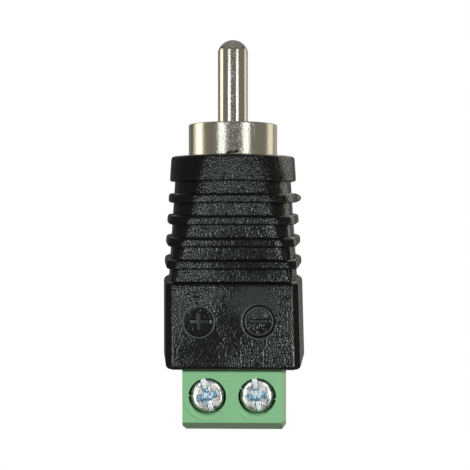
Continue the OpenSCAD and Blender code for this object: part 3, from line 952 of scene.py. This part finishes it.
class PLUG_OT_contacts(bpy.types.Operator):
    """Turns the domed pin and the collar cup"""

    bl_idname = "plug.contacts"
    bl_label = "Pin and collar"

    SLIT_HALF = Vector((0.6, 0.5, 0.14)) * MM
    SLIT_INSET, SLIT_RISE, SLIT_TILT = 0.6 * MM, 0.3 * MM, -9.0
    DENT_RADIUS, DENT_REACH, DENT_DROP, DENT_TURN = 0.2 * MM, 4.89 * MM, 0.75 * MM, -62.8

    def pin(self, contact):
        radius, tip, foot = PIN_HIGH.x, PIN_HIGH.z, PIN_LOW.z
        neck, cup = radius - contact.neck_step, radius - contact.cup_step
        hollow, hollow_top = cup - contact.cup_wall, foot + contact.cup_depth
        rivet = WASHER_FOOT - contact.rivet_height
        bend, chamfer = 0.12 * MM, 0.01 * MM
        ball = (contact.dome ** 2 + radius ** 2) / (2 * contact.dome)
        start = math.degrees(math.acos(radius / ball))
        profile = [(0.0, tip)] + arc((0.0, tip - ball), ball, 88.0, start + 3.0, 14)
        profile += arc((radius - bend, tip - contact.dome - bend / 2), bend, 50.0, 0.0, 4)
        profile += [(radius, INSULATOR_TOP + chamfer), (radius - chamfer, INSULATOR_TOP)]
        profile += [(neck, INSULATOR_TOP), (neck, WASHER_FOOT), (radius, WASHER_FOOT), (radius, rivet)]
        profile += [(cup, rivet), (cup, foot), (hollow, foot), (hollow, hollow_top), (0.0, hollow_top)]
        return profile

    def collar(self, contact):
        flange, foot, rim = -COLLAR_LOW.x, COLLAR_LOW.z, COLLAR_HIGH.z
        outer = flange - contact.flange
        inner = outer - contact.collar_wall
        shoulder, floor = foot + contact.flange_height, foot + contact.collar_floor
        hole, edge, body_top = contact.floor_hole, contact.rim_edge, BODY_HIGH.z
        profile = [(hole, foot), (flange, foot), (flange, shoulder), (outer, shoulder), (outer, body_top)]
        profile += arc((outer, body_top + 1.5 * contact.foot_bead), contact.foot_bead, -80.0, 80.0, 6)
        profile += [(outer, body_top + 0.2 * MM)]
        profile += arc((outer - edge, rim - edge), edge, 0.0, 90.0, 6)
        profile += arc((inner + edge, rim - edge), edge, 90.0, 180.0, 6)
        profile += [(inner, floor), (hole, floor), (hole, foot)]
        return profile

    def flaws(self):
        """The cutters of the lanced slit at the collar's foot and of the dent near its rim."""
        bm = bmesh.new()
        slit = Matrix.Translation((0.0, COLLAR_LOW.y + self.SLIT_INSET, BODY_HIGH.z + self.SLIT_RISE))
        slit = slit @ Matrix.Rotation(math.radians(self.SLIT_TILT), 4, "Y")
        box(bm, -self.SLIT_HALF, self.SLIT_HALF, slit)
        turn = math.radians(self.DENT_TURN)
        across, along = self.DENT_REACH * math.cos(turn), self.DENT_REACH * math.sin(turn)
        dent = Matrix.Translation((across, along, COLLAR_HIGH.z - self.DENT_DROP))
        bmesh.ops.create_icosphere(bm, subdivisions=3, radius=self.DENT_RADIUS, matrix=dent)
        return bm

    def execute(self, context):
        contact = context.scene.plug_contacts
        bm = bmesh.new()
        spin(bm, self.pin(contact), 64)
        piece("plated_pin", bm, finish(pin_nickel, contact), "plug", "plated_contact", ["center_pin"])
        bm = bmesh.new()
        spin(bm, self.collar(contact), 128)
        material = finish(collar_nickel, contact)
        made = piece("plated_collar", bm, material, "plug", "plated_contact", ["ground_collar"])
        carve(made, self.flaws())
        return {"FINISHED"}


# Terminal block


class PLUG_OT_housing(bpy.types.Operator):
    """Rounds the edges of the green terminal housing and adds the flash and scuffs round its screw holes"""

    bl_idname = "plug.housing"
    bl_label = "Terminal housing"

    NIBS = ((-1, 176.0), (-1, -46.0), (1, 152.0), (1, -6.0), (1, -52.0))
    NIB_SIZE = Matrix.Diagonal((0.16 * MM, 0.1 * MM, 0.12 * MM, 1.0))
    SCUFFS = ((-1, 0.125 * MM), (1, 0.155 * MM))
    SCUFF_RADIUS, SCUFF_THICKNESS = 2.33 * MM, 0.1 * MM
    SCUFF_LEAN, SCUFF_TOWARDS = 2.4, 236.0

    def shell(self, block):
        """The CAD housing with its sharp edges rounded."""
        bm = bmesh.new()
        bm.from_mesh(frame["nodes"]["terminal_housing"].data)
        bmesh.ops.remove_doubles(bm, verts=bm.verts, dist=1e-6)
        bmesh.ops.dissolve_limit(bm, angle_limit=math.radians(1.0), verts=bm.verts, edges=bm.edges)
        sharp = [e for e in bm.edges if len(e.link_faces) == 2 and e.calc_face_angle() > math.radians(30)]
        bmesh.ops.bevel(
            bm, geom=sharp, offset=block.edge, segments=2, profile=0.5, affect="EDGES", material=-1,
            clamp_overlap=True,
        )
        return bm

    def flash(self, block):
        """Nibs at the edges of the screw holes and a scuffed ring round each."""
        bm = bmesh.new()
        front = -HOUSING_LOW.y
        for side, angle in self.NIBS:
            turn = math.radians(angle)
            across, along = block.hole_radius * math.cos(turn), block.hole_radius * math.sin(turn)
            place = face_matrix(side * block.pitch / 2 + across, block.screw_height + along, front)
            place = place @ Matrix.Rotation(turn, 4, "Z") @ self.NIB_SIZE
            bmesh.ops.create_icosphere(bm, subdivisions=2, radius=1.0, matrix=place)
        for side, sink in self.SCUFFS:
            place = face_matrix(side * block.pitch / 2, block.screw_height, front - sink)
            bead(bm, place, self.SCUFF_RADIUS, self.SCUFF_THICKNESS, self.SCUFF_LEAN, self.SCUFF_TOWARDS)
        return bm

    def execute(self, context):
        block = context.scene.plug_terminal
        material = finish(green_plastic, block.green)
        shell = self.shell(block)
        made = piece("green_housing", shell, material, "plug", "green_block", ["terminal_housing"])
        even_normals(made)
        piece("hole_flash", self.flash(block), material, "plug", "green_block")
        return {"FINISHED"}


class PLUG_OT_screws(bpy.types.Operator):
    """Turns the two clamp screws and cuts their combined slot and cross recess"""

    bl_idname = "plug.screws"
    bl_label = "Clamp screws"

    TURNS = {"plus": 16.0, "minus": 9.5}
    CROWN = ((1.15 * MM, 0.012 * MM), (1.26 * MM, 0.026 * MM))
    SHOULDER, SHOULDER_DROP = 0.5 * MM, 0.53 * MM
    RIM, RIM_DROP = 0.06 * MM, 0.25 * MM
    CHAMFER, POINT, UNTHREADED = 0.08 * MM, 0.2 * MM, 0.6 * MM
    ACROSS, FLOOR_SHARE = 6.0 * MM, 0.68
    EDGE_NARROWING, CROSS_NARROWING = (0.8, 1.0), (0.7, 0.4)

    def profile(self, block, top, tip):
        """A head with a low crown and rounded shoulder, over a shank with rings of thread."""
        head, under = block.head_radius, top - block.head_height
        crest, root, pitch = block.thread_crest, block.thread_root, block.thread_pitch
        made = [(0.0, top)] + [(radius, top - drop) for radius, drop in self.CROWN]
        made += arc((head - self.SHOULDER, top - self.SHOULDER_DROP), self.SHOULDER, 86.0, 65.0, 5)
        made += arc((head - self.RIM, top - self.RIM_DROP), self.RIM, 65.0, 0.0, 4)
        made += [(head, under + self.CHAMFER), (head - self.CHAMFER, under), (root, under)]
        flank, flat = 0.4 * pitch, 0.12 * pitch
        for index in range(int((under - tip - self.UNTHREADED) / pitch)):
            z = under - flank - index * pitch
            made += [(root, z), (crest, z - flank), (crest, z - flank - flat), (root, z - 2 * flank - flat)]
        return made + [(root, tip + self.POINT), (root - self.POINT, tip), (0.0, tip)]

    def groove(self, top, turn, depth, width, length, narrowing=(1.0, 1.0)):
        """A cutter for a straight groove in the head, narrower across and along at its floor."""
        bm = bmesh.new()
        low, high = (-width / 2, -length / 2, top - depth), (width / 2, length / 2, top + 0.2 * MM)
        for vert in box(bm, low, high):
            if vert.co.z < top:
                vert.co.x *= narrowing[0]
                vert.co.y *= narrowing[1]
        bmesh.ops.transform(bm, verts=bm.verts, matrix=Matrix.Rotation(turn, 4, "Z"))
        return bm

    def recess(self, block, top, turn):
        """Cutters of the slot's worn edges, the slot and the two arms of the cross, with their finishes."""
        edges = (block.slot_edge, block.slot_width, self.ACROSS, self.EDGE_NARROWING)
        slot = (block.slot_depth, self.FLOOR_SHARE * block.slot_width, self.ACROSS)
        cross = (block.cross_depth, block.cross_width, block.cross_length, self.CROSS_NARROWING)
        return (
            # The stepped edges of the slot carry painted shade
            (self.groove(top, turn, *edges), finish(dull_zinc)),
            (self.groove(top, turn, *slot), finish(cut_zinc, block)),
            (self.groove(top, turn, *cross), finish(blue_zinc)),
            (self.groove(top, turn + math.pi / 2, *cross), finish(blue_zinc)),
        )

    def execute(self, context):
        block = context.scene.plug_terminal
        material = finish(zinc_plate, block)
        for pole, side in (("plus", -1), ("minus", 1)):
            node = f"clamp_screw_{pole}"
            low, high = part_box(node)
            top, tip = -low.y, -high.y
            place = face_matrix(side * block.pitch / 2, block.screw_height)
            bm = bmesh.new()
            spin(bm, self.profile(block, top, tip), 72, place=place)
            made = piece(f"zinc_screw_{pole}", bm, material, f"screw_{pole}", "zinc_screw", [node])
            for cutter, cut_material in self.recess(block, top, math.radians(self.TURNS[pole])):
                bmesh.ops.transform(cutter, verts=cutter.verts, matrix=place)
                carve(made, cutter, material=cut_material)
            soften(made, block.screw_edge)
        return {"FINISHED"}


class PLUG_OT_inner_parts(bpy.types.Operator):
    """Finishes the pieces inside that keep their CAD shape"""

    bl_idname = "plug.inner_parts"
    bl_label = "Inner parts"

    NODES = {
        cream_insulator: ("pin_insulator", "insulator_washer"),
        stamped_brass: (
            "ground_lug", "clamp_cage_plus", "clamp_cage_minus", "contact_bar_plus", "contact_bar_minus",
        ),
        tinned_copper: ("tip_lead", "ground_lead", "solder_joints"),
        red_sleeve: ("tip_sleeve",),
        black_sleeve: ("ground_sleeve",),
    }

    def execute(self, context):
        rows = [(node, finish(maker)) for maker, nodes in self.NODES.items() for node in nodes]
        rows.append(("block_cover", finish(green_plastic, context.scene.plug_terminal.green)))
        for node, material in rows:
            for slot in frame["nodes"][node].material_slots:
                slot.material = material
        return {"FINISHED"}


# Studio


WARM, CREAM, COOL = (1.0, 0.93, 0.66), (1.0, 0.95, 0.86), (0.95, 0.99, 1.0)


class Strip(NamedTuple):
    """An upright light round the plug: its angles seen from the pin, its share of a level and its height."""

    name: str
    azimuth: float
    half_angle: float
    level: str
    share: float = 1.0
    colour: tuple = CREAM
    low: float = -0.12
    high: float = 0.2


class Sheet(NamedTuple):
    """A level light over or under the plug."""

    name: str
    height: float
    width: float
    depth: float
    level: str
    share: float = 1.0


# The upright and level lights of the pieces in each material slot; None stands for the inner parts
STRIPS = {
    "black_body": (
        Strip("key_left", -31.0, 12.5, "key", 1.0, COOL, -0.075, 0.035),
        Strip("key_right", 33.0, 10.0, "key", 1.0, COOL, -0.075, 0.035),
        Strip("key_card", 120.0, 9.0, "card", 1.6),
        Strip("key_edge", 165.0, 12.0, "backdrop", 0.6),
        Strip("moulding_back_left", -147.0, 12.0, "strip", 0.25, CREAM, 0.14, 0.34),
        Strip("moulding_back_right", 147.0, 12.0, "strip", 1.0, CREAM, 0.14, 0.34),
    ),
    "plated_contact": (
        Strip("plate_left", -27.0, 9.0, "strip", 0.75, COOL, 0.015, 0.12),
        Strip("plate_right", 34.5, 8.5, "strip", 0.75, COOL, 0.015, 0.12),
        Strip("plate_front", 2.0, 14.0, "fill", 0.65),
        Strip("plate_card_left", -97.0, 10.0, "card", 1.3, (1.0, 0.98, 0.86)),
        Strip("plate_halo_left", -101.0, 20.0, "card", 0.6, WARM),
        Strip("plate_fill_left", -64.0, 20.0, "fill", 0.9, (1.0, 0.9, 0.66)),
        Strip("plate_fill_right", 76.0, 26.0, "fill", 1.0, (1.0, 0.94, 0.76)),
        Strip("plate_card_right", 114.0, 12.0, "card", 0.9, (1.0, 0.91, 0.76)),
        Strip("plate_edge_right", 142.0, 16.0, "fill", 1.8),
        Strip("plate_back", 180.0, 40.0, "fill", 1.2, CREAM, 0.0, 0.3),
    ),
    "zinc_screw": (
        Strip("screw_left", -29.0, 8.0, "strip", 1.0, COOL, -0.16),
        Strip("screw_right", 31.0, 7.0, "strip", 1.0, COOL, -0.16),
        Strip("screw_front", 0.0, 16.0, "fill", 3.4, (0.95, 1.0, 0.98), -0.16),
        Strip("screw_fill_left", -66.0, 20.0, "fill", 2.2, CREAM, -0.16),
        Strip("screw_fill_right", 68.0, 20.0, "fill", 2.2, COOL, -0.16),
    ),
    "green_block": (
        Strip("housing_left", -34.0, 16.0, "strip", 13.4, (1.0, 1.0, 0.97), 0.08, 0.105),
        Strip("housing_right", 36.0, 16.0, "strip", 13.4, (1.0, 0.98, 0.95), 0.08, 0.105),
        Strip("housing_edge", 86.0, 18.0, "card", 2.1, (1.0, 0.86, 0.86)),
        Strip("housing_back", 180.0, 25.0, "strip", 1.5, CREAM, -0.02, 0.15),
    ),
    None: (),
}
SHEETS = {
    "plated_contact": Sheet("plate_top", 0.3, 0.5, 0.5, "fill", 1.2),
    "green_block": Sheet("housing_foot", -0.1, 0.06, 0.05, "strip", 0.7),
    None: Sheet("inner_top", 0.3, 0.3, 0.3, "card"),
}


class PLUG_OT_studio(bpy.types.Operator):
    """Sets the floor, the room, the strip lights, the side cards and the camera"""

    bl_idname = "plug.studio"
    bl_label = "Studio"

    def lamp(self, name, place, turn, width, height, colour, level, only):
        """A square-cornered area light of a given radiance that lights some pieces only."""
        lamp = bpy.data.lights.new(name, "AREA")
        lamp.shape = "RECTANGLE"
        lamp.size, lamp.size_y = width, height
        lamp.color = colour
        lamp.energy = math.pi * level * width * height
        made = bpy.data.objects.new(name, lamp)
        made.location = place
        made.rotation_euler = turn
        made.visible_camera = False
        made.light_linking.receiver_collection = only
        bpy.context.scene.collection.objects.link(made)

    def strip(self, studio, light, only):
        width = 2 * studio.distance * math.tan(math.radians(light.half_angle))
        turn = math.radians(light.azimuth)
        across, along = studio.distance * math.sin(turn), -studio.distance * math.cos(turn)
        place, level = (across, along, (light.low + light.high) / 2), self.level(studio, light)
        facing = (math.pi / 2, 0.0, turn)
        self.lamp(light.name, place, facing, width, light.high - light.low, light.colour, level, only)

    def sheet(self, studio, light, only):
        facing = (0.0 if light.height > 0 else math.pi, 0.0, 0.0)
        place, level = (0.0, 0.0, light.height), self.level(studio, light)
        self.lamp(light.name, place, facing, light.width, light.depth, CREAM, level, only)

    def level(self, studio, light):
        return light.share * getattr(studio, f"{light.level}_level")

    def pieces(self, slot):
        """A collection of the pieces in a material slot."""
        made = bpy.data.collections.new(f"lit_{slot}")
        for found in bpy.context.scene.objects:
            if found.type == "MESH" and found.get("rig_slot") == slot:
                made.objects.link(found)
        return made

    def room(self, studio):
        """A dim cream room that the camera sees as white."""
        world = bpy.data.worlds.new("room")
        bpy.context.scene.world = world
        nodes = Nodes(world)
        nodes.tree.nodes.clear()
        seen = nodes.node("ShaderNodeLightPath", out="Is Camera Ray")
        walls = {"Color": (1.0, 0.98, 0.95, 1.0), "Strength": studio.room_level}
        dim = nodes.node("ShaderNodeBackground", {}, walls)
        white = nodes.node("ShaderNodeBackground", {}, {"Color": (1.0, 1.0, 1.0, 1.0)})
        shown = nodes.node("ShaderNodeMixShader", {}, {0: seen, 1: dim, 2: white})
        nodes.node("ShaderNodeOutputWorld", {}, {"Surface": shown})

    def pale_floor(self):
        """White to the camera with a faint shadow at the foot, grey to the light that it throws back."""
        material = bpy.data.materials.new("pale_floor")
        nodes = Nodes(material)
        nodes.tree.nodes.clear()
        seen = nodes.node("ShaderNodeLightPath", out="Is Camera Ray")
        open_share = nodes.node("ShaderNodeAmbientOcclusion", {}, {"Distance": 2.5 * MM}, out="AO")
        glow = nodes.node("ShaderNodeEmission", {}, {"Strength": 0.96 + 0.04 * open_share})
        matte = nodes.node("ShaderNodeBsdfDiffuse", {}, {"Color": (0.25, 0.25, 0.24, 1.0)})
        shown = nodes.node("ShaderNodeMixShader", {}, {0: seen, 1: matte, 2: glow})
        nodes.node("ShaderNodeOutputMaterial", {}, {"Surface": shown})
        return material

    def floor(self):
        bm = bmesh.new()
        bmesh.ops.create_circle(bm, cap_ends=True, segments=96, radius=1.2)
        bmesh.ops.translate(bm, verts=bm.verts, vec=(0, 0, -0.01 * MM))
        made = loose_object("studio_floor", bm)
        made.data.materials.append(self.pale_floor())
        made.visible_glossy = False
        made.visible_shadow = False

    def camera(self, studio):
        data = bpy.data.cameras.new("photo_camera")
        data.sensor_width = 36.0
        data.lens = studio.lens
        data.shift_y = studio.shift
        data.clip_start, data.clip_end = 0.002, 10.0
        made = bpy.data.objects.new("photo_camera", data)
        made.location = studio.camera_place
        made.rotation_mode = "QUATERNION"
        aim = Vector(studio.camera_aim) - Vector(studio.camera_place)
        made.rotation_quaternion = aim.to_track_quat("-Z", "Y")
        bpy.context.scene.collection.objects.link(made)
        bpy.context.scene.camera = made

    def execute(self, context):
        studio = context.scene.plug_studio
        for slot, strips in STRIPS.items():
            only = self.pieces(slot)
            for light in strips:
                self.strip(studio, light, only)
            if slot in SHEETS:
                self.sheet(studio, SHEETS[slot], only)
        self.room(studio)
        self.floor()
        self.camera(studio)
        context.scene.view_settings.view_transform = "Standard"
        return {"FINISHED"}


OPERATORS = (
    PLUG_OT_moulding, PLUG_OT_marks, PLUG_OT_contacts, PLUG_OT_housing, PLUG_OT_screws, PLUG_OT_inner_parts,
    PLUG_OT_studio,
)
SETTINGS = {
    "plug_moulding": MouldingSettings,
    "plug_contacts": ContactSettings,
    "plug_terminal": TerminalSettings,
    "plug_studio": StudioSettings,
}


class PLUG_PT_pieces(bpy.types.Panel):
    """Lists the pieces of the plug"""

    bl_idname = "PLUG_PT_pieces"
    bl_label = "Phono plug"
    bl_space_type = "VIEW_3D"
    bl_region_type = "UI"
    bl_category = "Plug"

    def draw(self, context):
        for operator in OPERATORS:
            self.layout.operator(operator.bl_idname)


CLASSES = (*SETTINGS.values(), *OPERATORS, PLUG_PT_pieces)


def register():
    for cls in CLASSES:
        bpy.utils.register_class(cls)
    for name, group in SETTINGS.items():
        setattr(bpy.types.Scene, name, PointerProperty(type=group))


def unregister():
    for name in SETTINGS:
        delattr(bpy.types.Scene, name)
    for cls in reversed(CLASSES):
        bpy.utils.unregister_class(cls)


def main():
    register()
    bpy.ops.plug.moulding()
    bpy.ops.plug.marks()
    bpy.ops.plug.contacts()
    bpy.ops.plug.housing()
    bpy.ops.plug.screws()
    bpy.ops.plug.inner_parts()
    bpy.ops.plug.studio()


if __name__ == "__main__":
    main()
